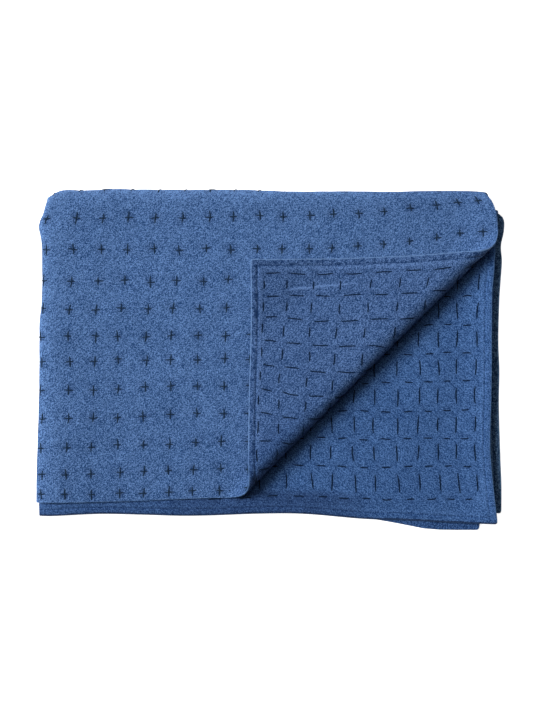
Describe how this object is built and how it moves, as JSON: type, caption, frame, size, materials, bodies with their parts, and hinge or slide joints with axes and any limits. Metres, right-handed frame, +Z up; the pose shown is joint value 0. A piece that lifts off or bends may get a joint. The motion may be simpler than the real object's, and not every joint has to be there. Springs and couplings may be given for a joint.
{
  "type": "folded quilt",
  "caption": "Hand-stitched throw quilt lying folded twice into four leaves, with one corner of the top leaf rolled back to show the reverse.",
  "frame": {"origin": "middle of the folded quilt's outline, on the surface it lies on", "axes": "+X along the folded quilt's long side, away from the fold; +Y towards the long crease; +Z up"},
  "size_m": [0.9044, 0.665, 0.0629],
  "materials": {
    "quilt_cloth": "matt indigo cotton with a soft, slightly uneven weave"
  },
  "bodies": {
    "root": {"quilt_cloth": "quilt_cloth"}
  },
  "joints": []
}
